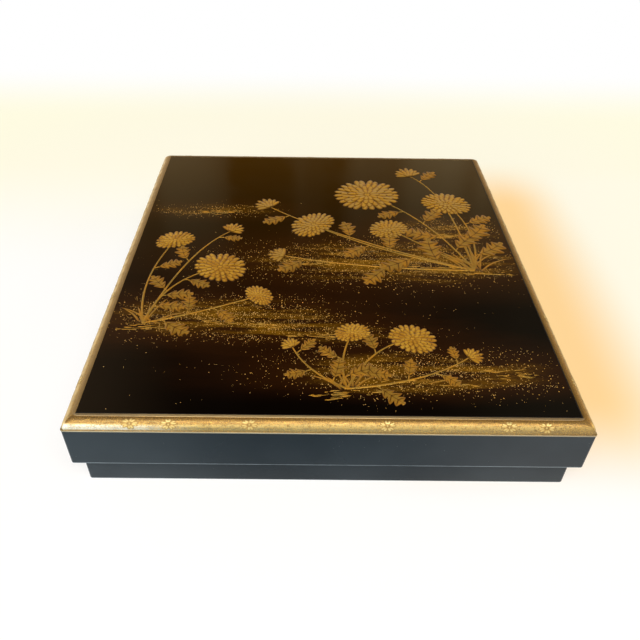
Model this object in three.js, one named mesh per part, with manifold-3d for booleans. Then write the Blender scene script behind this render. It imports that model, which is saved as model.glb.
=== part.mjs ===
// A low lacquered writing box with an overhanging lid, in millimetres, +Z up.
// The origin is on the underside, at the middle of the plan. The reader sits on the -Y side.
// The wooden core is made of boards: mitred walls with loose keys, a rebated top board, and a
// floor board held by wooden pegs. Inside are a board with two cut-outs, an inkstone, a water
// dropper and a brush tray.
import * as THREE from "three";
import { mergeVertices } from "three/addons/utils/BufferGeometryUtils.js";
import Module from "manifold-3d";

const wasm = await Module();
wasm.setup();

// Driving dimensions
const WIDTH = 220; // across the gold lip, X
const DEPTH = 246; // across the gold lip, Y
const HEIGHT = 42; // floor to the top of the gold fillet
const SKIRT_BOTTOM = 15.75; // lower edge of the lid
const LIP_BOTTOM = 36.5; // where the gold rim meets the lid's walls
const LIP_HEIGHT = 0.75;
const LIP_DEPTH = 0.5; // how far the lip stands out from the round of the rim
const RIM_WIDTH = 6;
const FILLET_WIDTH = 1.25; // flat gold strip round the black panel
const FILLET_STEP = 0.5;
const PANEL_RECESS = 0.25; // the black panel lies this far below the gold fillet
const LID_THICKNESS = 4; // fillet to the underside of the lid
const REBATE = 2; // height of the top board's tongue under the rim
const SETBACK = 0.125; // lid walls stand this far behind the lip
const LID_WALL = 3;
const FIT = 0.75; // running room between lid and base, and round every loose piece
const BASE_WALL = 4.625;
const FLOOR = 4;
const FLOOR_REBATE = 2; // how far the floor board reaches under a wall
const CORNER = 1.25; // radius of the upright corners
const CHAMFER = 0.5; // eased lower edges
const GLUE = 0.125; // glue line round keys and pegs

const LEDGE = { width: 5, height: 6 };
const BOARD = { thickness: 3, corner: 1.5 };
const SURROUND = { width: 3, height: 2 };
const STONE = { x: -28.5, y: -36, width: 80, depth: 132, height: 19, corner: 9 };
const STONE_RECESS = { inset: 5, depth: 2 };
const STONE_WELL = { y: 33, halfX: 30, halfY: 22, halfZ: 10, above: 1 };
const DROPPER = { x: -28.5, y: 72, width: 54, depth: 36, height: 18, corner: 6, wall: 1.25 };
const DROPPER_TOP = { thickness: 1.5, petals: 16, flower: 7.5, notch: 0.9, rise: 1 };
const DROPPER_HOLE = { radius: 1.25, ventX: 19, ventRadius: 1 };
const TRAY = { width: 56, depth: 224, height: 15, wall: 2.5, floor: 2.5 };
const BRUSH_REST = { y: 60, thickness: 6, height: 9, notches: 3, notch: 6 };
const KEY = { length: 3, thickness: 0.75, along: 2, end: 1.5 };
const PEG = { radius: 0.75, length: 7, inset: 0.25, z: 2, spacing: 130 };
const ARC_STEPS = 6;
const ROUND_STEPS = 10; // along the convex part of the gold rim

// Levels and outlines worked out from them
const LIP = { x: WIDTH / 2, y: DEPTH / 2 };
const inward = (outline, distance) => ({ x: outline.x - distance, y: outline.y - distance });
const UNDERSIDE = HEIGHT - LID_THICKNESS; // the lid rests here on the base's walls
const LID = inward(LIP, SETBACK);
const LID_INNER = SETBACK + LID_WALL; // counted from the lip, as the rim's section is
const BASE = inward(LIP, LID_INNER + FIT);
const INNER = inward(BASE, BASE_WALL);
const BOARD_Z = FLOOR + LEDGE.height;
const BOARD_TOP = BOARD_Z + BOARD.thickness;
const TRAY_X = INNER.x - FIT - TRAY.width / 2;
const TONGUE = { from: 1, to: LID_WALL - 1, height: 1.5 }; // on top of a lid wall, under the rim

const material = (color, roughness, metalness = 0) =>
  new THREE.MeshStandardMaterial({ color, roughness, metalness });
const blackLacquer = material(0x0b0908, 0.16);
const goldLacquer = material(0xb58a3c, 0.42, 0.7);
const speckledLacquer = material(0x3a1d0c, 0.25);
const cypress = material(0xc9a878, 0.75);
const slate = material(0x26282b, 0.6);
const copper = material(0x8f6f4a, 0.45, 0.9);

// Geometry to a solid for cutting, and back
function solidOf(geometry) {
  const bare = geometry.index ? geometry.toNonIndexed() : geometry.clone();
  bare.deleteAttribute("normal");
  bare.deleteAttribute("uv");
  const merged = mergeVertices(bare, 1e-4);
  return new wasm.Manifold(
    new wasm.Mesh({
      numProp: 3,
      vertProperties: merged.attributes.position.array,
      triVerts: new Uint32Array(merged.index.array),
    }),
  );
}

function geometryOf(solid) {
  const mesh = solid.getMesh();
  const geometry = new THREE.BufferGeometry();
  geometry.setAttribute("position", new THREE.BufferAttribute(mesh.vertProperties, 3));
  geometry.setIndex(new THREE.BufferAttribute(mesh.triVerts, 1));
  const flat = geometry.toNonIndexed();
  flat.computeVertexNormals();
  return flat;
}

const cut = (geometry, ...tools) =>
  geometryOf(tools.reduce((left, tool) => left.subtract(solidOf(tool)), solidOf(geometry)));
const join = (...pieces) =>
  geometryOf(pieces.map(solidOf).reduce((whole, piece) => whole.add(piece)));
const trim = (geometry, limit) => geometryOf(solidOf(geometry).intersect(solidOf(limit)));

function named(name, geometry, finish) {
  const mesh = new THREE.Mesh(geometry, finish);
  mesh.name = name;
  return mesh;
}

// A rectangle in plan with round corners, as a shape or as a hole
function roundedRectangle(halfX, halfY, radius, Kind = THREE.Shape) {
  const outline = new Kind();
  outline.moveTo(halfX, halfY - radius);
  outline.absarc(halfX - radius, halfY - radius, radius, 0, Math.PI / 2);
  outline.absarc(radius - halfX, halfY - radius, radius, Math.PI / 2, Math.PI);
  outline.absarc(radius - halfX, radius - halfY, radius, Math.PI, 1.5 * Math.PI);
  outline.absarc(halfX - radius, radius - halfY, radius, 1.5 * Math.PI, 2 * Math.PI);
  return outline;
}

const prism = (shape, z, height, curveSegments = ARC_STEPS) =>
  new THREE.ExtrudeGeometry(shape, { depth: height, bevelEnabled: false, curveSegments }).translate(0, 0, z);

const block = (x0, x1, y0, y1, z0, z1) =>
  new THREE.BoxGeometry(x1 - x0, y1 - y0, z1 - z0).translate((x0 + x1) / 2, (y0 + y1) / 2, (z0 + z1) / 2);

// The four sides. s runs along a side and u inwards from the outline, so that neighbours share
// their mitre exactly.
const SIDES = {
  front: { half: (o) => o.x, plan: (s, u, o) => [s, u - o.y] },
  right: { half: (o) => o.y, plan: (s, u, o) => [o.x - u, s] },
  back: { half: (o) => o.x, plan: (s, u, o) => [-s, o.y - u] },
  left: { half: (o) => o.y, plan: (s, u, o) => [u - o.x, -s] },
};

// A board with the given section of [u, z] points, mitred at both ends
function mitredBoard(side, outline, section) {
  const { half, plan } = SIDES[side];
  const points = section.map(([u, z]) => new THREE.Vector2(u, z));
  if (THREE.ShapeUtils.isClockWise(points)) points.reverse();
  const length = half(outline);
  const ends = [-1, 1].map((end) =>
    points.map(({ x: u, y: z }) => [...plan(end * (length - u), u, outline), z]),
  );
  const positions = [];
  const face = (...corners) => corners.forEach((corner) => positions.push(...corner));
  points.forEach((_, i) => {
    const next = (i + 1) % points.length;
    face(ends[0][i], ends[0][next], ends[1][next]);
    face(ends[0][i], ends[1][next], ends[1][i]);
  });
  for (const [a, b, c] of THREE.ShapeUtils.triangulateShape(points, [])) {
    face(ends[0][a], ends[0][c], ends[0][b]);
    face(ends[1][a], ends[1][b], ends[1][c]);
  }
  const geometry = new THREE.BufferGeometry();
  geometry.setAttribute("position", new THREE.BufferAttribute(new Float32Array(positions), 3));
  geometry.computeVertexNormals();
  return geometry;
}

const withRoundCorners = (geometry, outline) =>
  trim(geometry, prism(roundedRectangle(outline.x, outline.y, CORNER), -1, HEIGHT + 2));

// A loose key that crosses a mitre inside the wall, and with slack its groove
function cornerKey(outline, signX, signY, z0, z1, slack = 0) {
  return new THREE.BoxGeometry(KEY.length + 2 * slack, KEY.thickness + 2 * slack, z1 - z0 + 2 * slack)
    .rotateZ((-signX * signY * Math.PI) / 4)
    .translate(signX * (outline.x - KEY.along), signY * (outline.y - KEY.along), (z0 + z1) / 2);
}

const CORNERS = {
  front_left: [-1, -1],
  front_right: [1, -1],
  back_left: [-1, 1],
  back_right: [1, 1],
};

// The walls of the lid or the base and the keys in their mitres
function framedWalls(prefix, outline, section, keyFrom, keyTo, tools = []) {
  const grooves = Object.values(CORNERS).map(([x, y]) => cornerKey(outline, x, y, keyFrom, keyTo, GLUE));
  const walls = Object.keys(SIDES).map((side) => {
    const board = withRoundCorners(mitredBoard(side, outline, section), outline);
    return named(`${prefix}_wall_${side}`, cut(board, ...grooves, ...tools), blackLacquer);
  });
  const keys = Object.entries(CORNERS).map(([corner, [x, y]]) =>
    named(`${prefix}_key_${corner}`, cornerKey(outline, x, y, keyFrom, keyTo), cypress),
  );
  return [...walls, ...keys];
}

// Section of the gold rim: flat fillet, convex round, thin lip, and the groove for the wall's tongue
function rimSection() {
  const centre = { u: RIM_WIDTH - FILLET_WIDTH, z: LIP_BOTTOM + LIP_HEIGHT };
  const across = centre.u - LIP_DEPTH;
  const rise = HEIGHT - FILLET_STEP - centre.z;
  const round = Array.from({ length: ROUND_STEPS + 1 }, (_, i) => {
    const angle = (i / ROUND_STEPS) * (Math.PI / 2);
    return [centre.u - across * Math.sin(angle), centre.z + rise * Math.cos(angle)];
  });
  return [
    [RIM_WIDTH, HEIGHT],
    [centre.u, HEIGHT],
    ...round,
    [0, centre.z],
    [0, LIP_BOTTOM],
    [SETBACK + TONGUE.from, LIP_BOTTOM],
    [SETBACK + TONGUE.from, LIP_BOTTOM + TONGUE.height],
    [SETBACK + TONGUE.to, LIP_BOTTOM + TONGUE.height],
    [SETBACK + TONGUE.to, LIP_BOTTOM],
    [LID_INNER, LIP_BOTTOM],
    [LID_INNER, UNDERSIDE + REBATE],
    [RIM_WIDTH, UNDERSIDE + REBATE],
  ];
}

function lid() {
  const wall = [
    [0, LIP_BOTTOM],
    [0, SKIRT_BOTTOM + CHAMFER],
    [CHAMFER, SKIRT_BOTTOM],
    [LID_WALL, SKIRT_BOTTOM],
    [LID_WALL, LIP_BOTTOM],
    [TONGUE.to, LIP_BOTTOM],
    [TONGUE.to, LIP_BOTTOM + TONGUE.height],
    [TONGUE.from, LIP_BOTTOM + TONGUE.height],
    [TONGUE.from, LIP_BOTTOM],
  ];
  const tongue = inward(LIP, LID_INNER);
  const panel = inward(LIP, RIM_WIDTH);
  const panelTop = HEIGHT - PANEL_RECESS;
  const topBoard = join(
    block(-tongue.x, tongue.x, -tongue.y, tongue.y, UNDERSIDE, UNDERSIDE + REBATE),
    block(-panel.x, panel.x, -panel.y, panel.y, UNDERSIDE + REBATE, panelTop),
  );
  const rims = Object.keys(SIDES).map((side) =>
    named(`lid_rim_${side}`, withRoundCorners(mitredBoard(side, LIP, rimSection()), LIP), goldLacquer),
  );
  const walls = framedWalls("lid", LID, wall, SKIRT_BOTTOM + KEY.end, LIP_BOTTOM - KEY.end);
  return [named("lid_top_board", topBoard, blackLacquer), ...rims, ...walls];
}

// A wooden peg driven through a wall's foot into the edge of the floor board, or its hole
function peg(side, s, slack = 0) {
  const from = PEG.inset - slack;
  const to = PEG.inset + PEG.length + slack;
  const [x, y] = SIDES[side].plan(s, (from + to) / 2, BASE);
  const rod = new THREE.CylinderGeometry(PEG.radius + slack, PEG.radius + slack, to - from, 8);
  if (side === "left" || side === "right") rod.rotateZ(Math.PI / 2);
  return rod.translate(x, y, PEG.z);
}

function base() {
  const foot = BASE_WALL - FLOOR_REBATE;
  const wall = [
    [0, UNDERSIDE],
    [0, CHAMFER],
    [CHAMFER, 0],
    [foot, 0],
    [foot, FLOOR],
    [BASE_WALL, FLOOR],
    [BASE_WALL, UNDERSIDE],
  ];
  const pegs = Object.keys(SIDES).flatMap((side) =>
    [-1, 1].map((end) => ({ side, s: (end * PEG.spacing) / 2, name: `base_peg_${side}_${end < 0 ? 1 : 2}` })),
  );
  const holes = pegs.map(({ side, s }) => peg(side, s, GLUE));
  const under = inward(BASE, foot);
  const floor = cut(block(-under.x, under.x, -under.y, under.y, 0, FLOOR), ...holes);
  const long = INNER.y - LEDGE.width;
  const across = INNER.x - LEDGE.width;
  return [
    named("base_floor_board", floor, blackLacquer),
    ...framedWalls("base", BASE, wall, FLOOR + KEY.end, UNDERSIDE - KEY.end, holes),
    ...pegs.map(({ side, s, name }) => named(name, peg(side, s), cypress)),
    named("base_ledge_left", block(-INNER.x, -across, -INNER.y, INNER.y, FLOOR, BOARD_Z), speckledLacquer),
    named("base_ledge_right", block(across, INNER.x, -INNER.y, INNER.y, FLOOR, BOARD_Z), speckledLacquer),
    named("base_ledge_front", block(-across, across, -INNER.y, -long, FLOOR, BOARD_Z), speckledLacquer),
    named("base_ledge_back", block(-across, across, long, INNER.y, FLOOR, BOARD_Z), speckledLacquer),
  ];
}

// Outline of the opening that a loose piece stands in, moved to the piece's place
function seat(piece, grow, Kind) {
  const outline = roundedRectangle(
    piece.width / 2 + FIT + grow,
    piece.depth / 2 + FIT + grow,
    piece.corner + FIT + grow,
    Kind,
  );
  const points = outline.getPoints(ARC_STEPS).map((p) => new THREE.Vector2(p.x + piece.x, p.y + piece.y));
  return new Kind(points);
}

function innerBoard() {
  const plate = roundedRectangle(INNER.x - FIT, INNER.y - FIT, BOARD.corner);
  plate.holes.push(seat(STONE, 0, THREE.Path), seat(DROPPER, 0, THREE.Path));
  const surround = (piece) => {
    const ring = seat(piece, SURROUND.width, THREE.Shape);
    ring.holes.push(seat(piece, 0, THREE.Path));
    return prism(ring, BOARD_TOP, SURROUND.height);
  };
  return [
    named("inner_board", prism(plate, BOARD_Z, BOARD.thickness), speckledLacquer),
    named("inkstone_surround", surround(STONE), goldLacquer),
    named("dropper_surround", surround(DROPPER), goldLacquer),
  ];
}

// The stone has a raised border, a flat grinding face and a well at the far end
function inkstone() {
  const { width, depth, height, corner } = STONE;
  const { inset } = STONE_RECESS;
  const body = prism(roundedRectangle(width / 2, depth / 2, corner), 0, height);
  const face = roundedRectangle(width / 2 - inset, depth / 2 - inset, corner - inset / 2);
  const recess = prism(face, height - STONE_RECESS.depth, STONE_RECESS.depth + 1);
  const well = new THREE.SphereGeometry(1, 24, 14)
    .rotateX(Math.PI / 2)
    .scale(STONE_WELL.halfX, STONE_WELL.halfY, STONE_WELL.halfZ)
    .translate(0, STONE_WELL.y, height - STONE_RECESS.depth + STONE_WELL.above);
  const stone = cut(body, recess, well).translate(STONE.x, STONE.y, FLOOR);
  return [named("inkstone", stone, slate)];
}

// A lobed flower in plan, as long petals round a centre
function flowerShape(radius, petals, notch) {
  const steps = petals * 4;
  const points = Array.from({ length: steps }, (_, i) => {
    const angle = (i / steps) * 2 * Math.PI;
    const reach = radius - notch * Math.abs(Math.cos((petals * angle) / 2));
    return new THREE.Vector2(reach * Math.cos(angle), reach * Math.sin(angle));
  });
  return new THREE.Shape(points);
}

function dropper() {
  const { width, depth, height, corner, wall } = DROPPER;
  const { thickness, petals, flower, notch, rise } = DROPPER_TOP;
  const outline = () => roundedRectangle(width / 2, depth / 2, corner);
  const hollow = roundedRectangle(width / 2 - wall, depth / 2 - wall, corner - wall);
  const cup = cut(prism(outline(), 0, height), prism(hollow, wall, height));
  const hole = (x, radius) =>
    new THREE.CylinderGeometry(radius, radius, 8, 16).rotateX(Math.PI / 2).translate(x, 0, height);
  const top = cut(
    join(
      prism(outline(), height, thickness),
      prism(flowerShape(flower, petals, notch), height + thickness / 2, thickness / 2 + rise),
    ),
    hole(0, DROPPER_HOLE.radius),
    hole(DROPPER_HOLE.ventX, DROPPER_HOLE.ventRadius),
  );
  return [
    named("dropper_body", cup.translate(DROPPER.x, DROPPER.y, FLOOR), copper),
    named("dropper_top", top.translate(DROPPER.x, DROPPER.y, FLOOR), copper),
  ];
}

function brushRest() {
  const half = TRAY.width / 2 - TRAY.wall;
  const pitch = (2 * half) / BRUSH_REST.notches;
  const bottom = BOARD_TOP + TRAY.floor;
  const top = bottom + BRUSH_REST.height;
  const profile = new THREE.Shape();
  profile.moveTo(-half, bottom);
  profile.lineTo(half, bottom);
  profile.lineTo(half, top);
  for (let i = BRUSH_REST.notches - 1; i >= 0; i -= 1) {
    const x = -half + pitch * (i + 0.5);
    profile.lineTo(x + BRUSH_REST.notch, top);
    profile.absarc(x, top, BRUSH_REST.notch, 0, Math.PI, true);
  }
  profile.lineTo(-half, top);
  return new THREE.ExtrudeGeometry(profile, {
    depth: BRUSH_REST.thickness,
    bevelEnabled: false,
    curveSegments: 12,
  })
    .rotateX(Math.PI / 2)
    .translate(TRAY_X, BRUSH_REST.y + BRUSH_REST.thickness, 0);
}

function tray() {
  const x0 = TRAY_X - TRAY.width / 2;
  const x1 = TRAY_X + TRAY.width / 2;
  const y1 = TRAY.depth / 2;
  const z0 = BOARD_TOP + TRAY.floor;
  const z1 = BOARD_TOP + TRAY.height;
  const { wall } = TRAY;
  return [
    named("tray_floor", block(x0, x1, -y1, y1, BOARD_TOP, z0), speckledLacquer),
    named("tray_wall_left", block(x0, x0 + wall, -y1, y1, z0, z1), blackLacquer),
    named("tray_wall_right", block(x1 - wall, x1, -y1, y1, z0, z1), blackLacquer),
    named("tray_wall_front", block(x0 + wall, x1 - wall, -y1, wall - y1, z0, z1), blackLacquer),
    named("tray_wall_back", block(x0 + wall, x1 - wall, y1 - wall, y1, z0, z1), blackLacquer),
    named("tray_brush_rest", brushRest(), blackLacquer),
  ];
}

const writingBox = new THREE.Group();
for (const subassembly of [lid, base, innerBoard, inkstone, dropper, tray]) {
  const group = new THREE.Group();
  group.add(...subassembly());
  writingBox.add(group);
}

export default writingBox;
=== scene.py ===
import random
from math import atan2, copysign, cos, degrees, dist, hypot, pi, radians, sin, sqrt, tau

import bmesh
import bpy
from mathutils import Matrix, Vector, noise


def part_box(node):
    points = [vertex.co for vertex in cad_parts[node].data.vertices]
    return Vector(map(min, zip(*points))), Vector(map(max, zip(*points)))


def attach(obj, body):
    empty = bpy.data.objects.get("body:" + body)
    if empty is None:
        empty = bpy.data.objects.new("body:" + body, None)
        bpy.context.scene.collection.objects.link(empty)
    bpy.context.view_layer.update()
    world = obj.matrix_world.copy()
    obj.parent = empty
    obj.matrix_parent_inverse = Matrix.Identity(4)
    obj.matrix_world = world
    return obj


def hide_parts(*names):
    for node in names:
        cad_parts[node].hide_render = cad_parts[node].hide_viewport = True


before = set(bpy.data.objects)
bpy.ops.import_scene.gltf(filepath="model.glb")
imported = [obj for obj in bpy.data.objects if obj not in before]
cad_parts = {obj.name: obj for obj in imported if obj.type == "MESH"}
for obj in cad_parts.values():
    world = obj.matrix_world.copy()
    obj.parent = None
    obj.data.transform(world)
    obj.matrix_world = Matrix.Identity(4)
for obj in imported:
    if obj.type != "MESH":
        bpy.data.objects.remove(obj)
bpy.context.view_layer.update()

# A flat lacquered writing box with a gold rim. Sizes are in millimetres unless a note says otherwise,
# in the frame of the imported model: +Z up, the reader on the -Y side.
mm = 0.001


# Shader nodes

class Wire:  # a shader value; arithmetic on it adds Math nodes
    def __init__(self, nodes, socket):
        self.nodes = nodes
        self.socket = socket

    def math(self, operation, *others):  # with this value first
        return self.nodes.node("Math", {"operation": operation}, dict(enumerate((self, *others))))

    def __add__(self, other):
        return self.math("ADD", other)

    def __sub__(self, other):
        return self.math("SUBTRACT", other)

    def __rsub__(self, other):
        return self.nodes.node("Math", {"operation": "SUBTRACT"}, {0: other, 1: self})

    def __mul__(self, other):
        return self.math("MULTIPLY", other)

    def __truediv__(self, other):
        return self.math("DIVIDE", other)

    def __abs__(self):
        return self.math("ABSOLUTE")

    __radd__ = __add__
    __rmul__ = __mul__

    def smooth(self, low, high, start=0.0, end=1.0):
        sockets = {"Value": self, "From Min": low, "From Max": high, "To Min": start, "To Max": end}
        return self.nodes.node("MapRange", {"interpolation_type": "SMOOTHSTEP"}, sockets)

    def within(self, limits):  # rises over the first two limits and falls over the last two, if given
        share = self.smooth(limits[0], limits[1])
        return share * self.smooth(limits[3], limits[2]) if len(limits) == 4 else share

    def clamp(self):  # to between 0 and 1
        return self.nodes.node("Clamp", {}, {"Value": self})


class Nodes:  # the nodes of a material or of the world
    def __init__(self, owner):
        owner.use_nodes = True
        self.tree = owner.node_tree

    def node(self, kind, settings=None, sockets=None, output=0):
        made = self.tree.nodes.new("ShaderNode" + kind)
        for key, value in (settings or {}).items():
            if key == "stops":
                ramp = made.color_ramp
                ramp.elements[0].position, ramp.elements[0].color = value[0]
                ramp.elements[1].position, ramp.elements[1].color = value[-1]
                for place, color in value[1:-1]:
                    ramp.elements.new(place).color = color
            else:
                setattr(made, key, value)
        for key, value in (sockets or {}).items():
            self.feed(made.inputs[key], value)
        return Wire(self, made.outputs[output])

    def feed(self, socket, value):  # a wire, a number, a colour, or the name of a tone
        if isinstance(value, Wire):
            self.tree.links.new(value.socket, socket)
        else:
            socket.default_value = tones[value] if isinstance(value, str) else value

    def place(self, stretch=(1, 1, 1)):  # a point of the box in millimetres, stretched
        here = self.node("TexCoord", output="Object")
        scale = tuple(value / mm for value in stretch)
        return self.node("VectorMath", {"operation": "MULTIPLY"}, {0: here, 1: scale})

    def axes(self, vector):
        parts = self.tree.nodes.new("ShaderNodeSeparateXYZ")
        self.tree.links.new(vector.socket, parts.inputs[0])
        return [Wire(self, output) for output in parts.outputs]

    def grain(self, size, detail=2.0, stretch=(1, 1, 1), rough=0.5):  # noise from 0 to 1
        sockets = {"Vector": self.place(stretch), "Scale": 1 / size, "Detail": detail, "Roughness": rough}
        return self.node("TexNoise", {}, sockets)

    def cells(self, size, output="Distance"):
        return self.node("TexVoronoi", {}, {"Vector": self.place(), "Scale": 1 / size}, output)

    def chance(self, size):  # from 0 to 1, by cell
        return self.axes(self.cells(size, "Color"))[0]

    def dots(self, size, radius, share):  # round dots in a share of the cells; radius 1 fills a cell
        chosen = (share - self.chance(size)).smooth(0, 0.05)
        return chosen * self.cells(size).smooth(radius * 0.75, radius, 1, 0)

    def mix(self, factor, first, second):  # of two colours
        return self.node("Mix", {"data_type": "RGBA"}, {0: factor, 6: first, 7: second}, 2)

    def layers(self, tone, *coats):  # from the lowest coat up, each as its share and its colour
        for share, color in coats:
            tone = self.mix(share, tone, color)
        return tone

    def bump(self, height, depth):  # depth is in millimetres
        return self.node("Bump", {}, {"Height": height, "Distance": depth * mm, "Strength": 1.0})


class Finish(Nodes):
    def __init__(self, name, constants=None):
        self.material = bpy.data.materials.new(name)
        super().__init__(self.material)
        self.shader = self.tree.nodes["Principled BSDF"]
        for socket, value in (constants or {}).items():
            self.shader.inputs[socket].default_value = value

    def paint(self, **values):  # Base_Color=..., Roughness=..., on the main shader
        for key, value in values.items():
            self.feed(self.shader.inputs[key.replace("_", " ")], value)
        return self.material


def rgb(red, green, blue):  # linear
    return (red, green, blue, 1.0)


def placed(name, data):  # a new object in the scene
    made = bpy.data.objects.new(name, data)
    bpy.context.scene.collection.objects.link(made)
    return made


# Camera

shot = {
    "pictureSize": 640,  # pixels, both ways
    "focalLength": 638.3,  # pixels
    "opticalCentre": (307.9, 316.5),  # pixels from the picture's top left
    "place": (-10.6, -292.5, 240.4),
    "turn": 0.39,  # degrees, to the right
    "tilt": 39.79,  # degrees below level
    "roll": -0.86,  # degrees
    "sensor": 36.0,
}


def addCamera():
    data = bpy.data.cameras.new("camera")
    camera = placed("camera", data)
    size = shot["pictureSize"]
    data.sensor_width = shot["sensor"]
    data.lens = shot["focalLength"] / size * shot["sensor"]
    data.shift_x = (size / 2 - shot["opticalCentre"][0]) / size
    data.shift_y = (shot["opticalCentre"][1] - size / 2) / size
    data.clip_start = 0.01
    turn = Matrix.Rotation(radians(-shot["turn"]), 4, "Z")
    tilt = Matrix.Rotation(radians(90 - shot["tilt"]), 4, "X")
    roll = Matrix.Rotation(radians(-shot["roll"]), 4, "Z")
    camera.matrix_world = Matrix.Translation(Vector(shot["place"]) * mm) @ turn @ tilt @ roll
    bpy.context.scene.camera = camera


# Studio: pale floor, one large soft lamp behind the camera, two side lamps, a room that darkens overhead

studio = {
    "floorSize": 6.0,  # metres
    "floorLevel": -0.0002,  # metres, just clear of the box
    "floor": rgb(0.93, 0.93, 0.92),
    "floorGlow": 0.7,  # how far the camera and reflections see the floor as lit paper
    "paper": rgb(1.0, 1.0, 1.0),
    "paperCream": rgb(1.0, 0.97, 0.76),
    "paperShadowPeach": rgb(1.0, 0.69, 0.33),  # painted warm shadow of the box, on its right
    "paperCool": rgb(0.60, 0.93, 1.15),  # in front, seen in reflections alone
    "areas": {  # where each tone of paper sets in and where it ends
        "creamBehind": {"y": (20, 200, 280, 420)},
        "creamRight": {"x": (60, 170), "y": (-130, -60, 280, 420)},
        "paintedShadow": {"x": (0, 60, 140, 195), "y": (-135, -65, 125, 205)},
        "cool": {"x": (100, 10), "y": (-100, -150)},
    },
    "plainFrom": (240, 420),  # distance over which the floor turns to lit paper alone
    "roomLevels": (  # by height, from level to overhead
        (0.00, rgb(0.96, 0.95, 0.92)),
        (0.25, rgb(0.88, 0.80, 0.66)),
        (0.43, rgb(0.86, 0.58, 0.25)),
        (0.60, rgb(0.11, 0.065, 0.03)),
        (0.80, rgb(0.008, 0.006, 0.006)),
        (1.00, rgb(0.02, 0.02, 0.02)),
    ),
    "roomShade": rgb(0.50, 0.30, 0.04),  # the browner middle and the streaks of the far wall
    "roomStreaks": {"scale": 7.0, "detail": 3.0, "limits": (0.42, 0.60), "share": 0.55},
    "roomMiddle": {"x": -0.02, "reach": (0.30, 0.04), "share": 0.6},
    "roomFar": {"y": (0.1, 0.5), "z": (0.30, 0.42)},
    "roomLeft": rgb(0.30, 0.20, 0.11),  # glow high up on either hand
    "roomRight": rgb(0.13, 0.11, 0.07),
    "roomHigh": {"left": (-0.16, -0.36), "right": (0.16, 0.38), "z": (0.45, 0.66, 0.75, 0.95)},
    "window": rgb(1.8, 1.78, 1.7),  # low on the left
    "windowPlace": {"x": (-0.36, -0.6), "z": (0.5, 0.34)},
}
lamps = {
    "mainLamp": {"at": (0.08, -0.98, 1.62), "size": (1.9, 0.7), "watts": 35, "color": (1.0, 0.97, 0.92)},
    "leftLamp": {"at": (-0.80, -1.15, 0.45), "size": (0.7, 0.5), "watts": 8, "color": (0.96, 0.98, 1.0)},
    "rightLamp": {"at": (1.9, 0.3, 0.9), "size": (1.0, 1.0), "watts": 7, "color": (1.0, 0.84, 0.62)},
}


def addFloor():
    half, level = studio["floorSize"] / 2, studio["floorLevel"]
    mesh = bpy.data.meshes.new("floor")
    corners = [(-half, -half, level), (half, -half, level), (half, half, level), (-half, half, level)]
    mesh.from_pydata(corners, [], [(0, 1, 2, 3)])
    placed("floor", mesh)
    paper = Finish("floor", {"Roughness": 0.9, "Specular IOR Level": 0.1})
    places = dict(zip("xyz", paper.axes(paper.place())))

    def area(name):
        share = 1.0
        for axis, limits in studio["areas"][name].items():
            share = share * places[axis].within(limits)
        return share

    # painted warm shadow of the box on the floor, on its right
    paintedShadow = area("paintedShadow")
    paper.paint(Base_Color=paper.mix(paintedShadow, studio["floor"], studio["paperShadowPeach"]))
    creamy = area("creamBehind").math("MAXIMUM", area("creamRight") * 0.9)
    glossy = paper.node("LightPath", output="Is Glossy Ray")
    tone = paper.layers(
        studio["paper"],
        (creamy, studio["paperCream"]),
        (paintedShadow, studio["paperShadowPeach"]),
        (glossy * area("cool"), studio["paperCool"]),
    )
    glow = paper.node("Emission", {}, {"Color": tone})
    seen = paper.node("LightPath", output="Is Camera Ray") + glossy
    seen = (seen + paper.node("LightPath", output="Is Transmission Ray")).clamp()
    distance = paper.node("VectorMath", {"operation": "LENGTH"}, {0: paper.place()}, 1)
    far = distance.within(studio["plainFrom"])
    share = seen * (studio["floorGlow"] + (1 - studio["floorGlow"]) * far)
    above = paper.node("MixShader", {}, {0: share, 1: Wire(paper, paper.shader.outputs[0]), 2: glow})
    under = paper.node("NewGeometry", output="Backfacing")  # nothing shows from underneath
    through = paper.node("BsdfTransparent")
    paper.feed(paper.tree.nodes["Material Output"].inputs["Surface"],
               paper.node("MixShader", {}, {0: under, 1: above, 2: through}))
    mesh.materials.append(paper.material)


def addRoom():
    world = bpy.data.worlds.new("room")
    bpy.context.scene.world = world
    room = Nodes(world)
    towards = room.node("TexCoord", output="Generated")
    x, y, z = room.axes(towards)
    level = room.node("ValToRGB", {"stops": studio["roomLevels"]}, {"Fac": z})
    flat = room.node("VectorMath", {"operation": "MULTIPLY"}, {0: towards, 1: (1, 1, 0)})
    around = room.node("VectorMath", {"operation": "NORMALIZE"}, {0: flat})
    streaks, middle, far = studio["roomStreaks"], studio["roomMiddle"], studio["roomFar"]
    sockets = {"Vector": around, "Scale": streaks["scale"], "Detail": streaks["detail"]}
    streaky = room.node("TexNoise", {}, sockets).within(streaks["limits"])
    central = abs(x - middle["x"]).within(middle["reach"])
    shade = (streaky * streaks["share"] + central * middle["share"]).clamp()
    shade = shade * y.within(far["y"]) * z.within(far["z"])
    dimmed = room.node("Mix", {"data_type": "RGBA", "blend_type": "MULTIPLY"},
                       {0: shade, 6: level, 7: studio["roomShade"]}, 2)
    glow, window = studio["roomHigh"], studio["windowPlace"]
    high = z.within(glow["z"])
    lit = room.layers(
        dimmed,
        (x.within(glow["left"]) * high, studio["roomLeft"]),
        (x.within(glow["right"]) * high, studio["roomRight"]),
        (x.within(window["x"]) * z.within(window["z"]), studio["window"]),
        (room.node("LightPath", output="Is Camera Ray"), studio["paper"]),
    )
    room.feed(room.tree.nodes["Background"].inputs["Color"], lit)


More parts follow.
